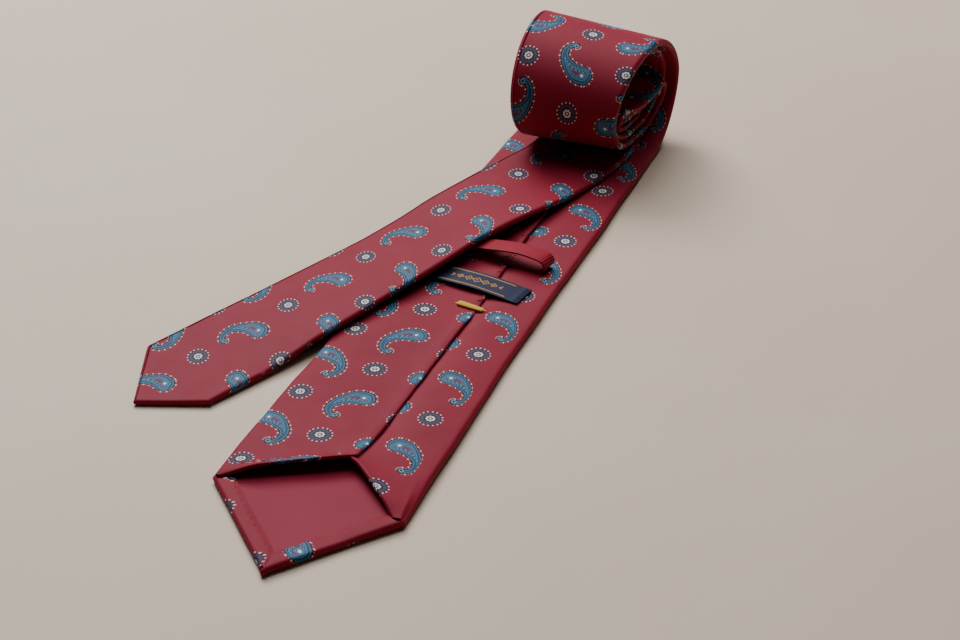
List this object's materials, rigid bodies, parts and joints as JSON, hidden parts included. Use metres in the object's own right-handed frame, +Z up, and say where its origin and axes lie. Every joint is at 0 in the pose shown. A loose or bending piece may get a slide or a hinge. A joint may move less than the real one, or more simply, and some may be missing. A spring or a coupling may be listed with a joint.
{
  "type": "necktie",
  "caption": "Printed silk necktie laid back side up: wide blade flat, tail across it, middle wound in a slack roll, with label, keeper loop and lifting tips.",
  "frame": {"origin": "on the surface that the tie lies on, under the middle of the whole tie", "axes": "+Y along the wide blade from its tip to the roll, +X across the blade to the viewer's right as the tip points to the viewer, +Z up from the surface"},
  "size_m": [0.1576, 0.4312, 0.0637],
  "materials": {
    "silk": "burgundy silk twill, printed with small blue figures",
    "wool": "brushed wool interlining",
    "tipping": "plain burgundy satin",
    "label_satin": "woven navy satin",
    "gold_thread": "gold buttonhole thread",
    "burgundy_thread": "burgundy sewing thread",
    "navy_thread": "navy sewing thread"
  },
  "bodies": {
    "wide_tip": {"wide_tip_shell": "silk", "wide_tip_interlining": "wool", "wide_tipping": "tipping", "wide_tip_hem_stitches": "burgundy_thread"},
    "blade_and_roll": {"wide_blade_shell": "silk", "wide_blade_interlining": "wool", "wide_slip_stitches": "burgundy_thread", "wide_bar_tack": "gold_thread", "back_label": "label_satin", "label_end_stitches": "navy_thread", "keeper_loop": "silk", "keeper_loop_stitches": "burgundy_thread", "rolled_blade_shell": "silk", "rolled_blade_interlining": "wool", "rolled_tail_shell": "silk", "rolled_tail_interlining": "wool", "neck_band_shell": "silk", "neck_band_interlining": "wool", "tail_base_shell": "silk", "tail_base_interlining": "wool"},
    "tail": {"tail_shell": "silk", "tail_interlining": "wool", "tail_tipping": "tipping", "tail_bar_tack": "gold_thread", "tail_slip_stitches": "burgundy_thread"}
  },
  "joints": [
    {"name": "wide_tip_lift", "type": "hinge", "parent": "blade_and_roll", "child": "wide_tip", "pos_m": [0.03684, -0.08214, 0.004], "axis": [-1, 0, 0], "range_deg": [0, 75]},
    {"name": "tail_lift", "type": "hinge", "parent": "blade_and_roll", "child": "tail", "pos_m": [0.02772, 0.11565, 0.00821], "axis": [-0.9547, 0.2976, -0.0076], "range_deg": [0, 60]}
  ]
}
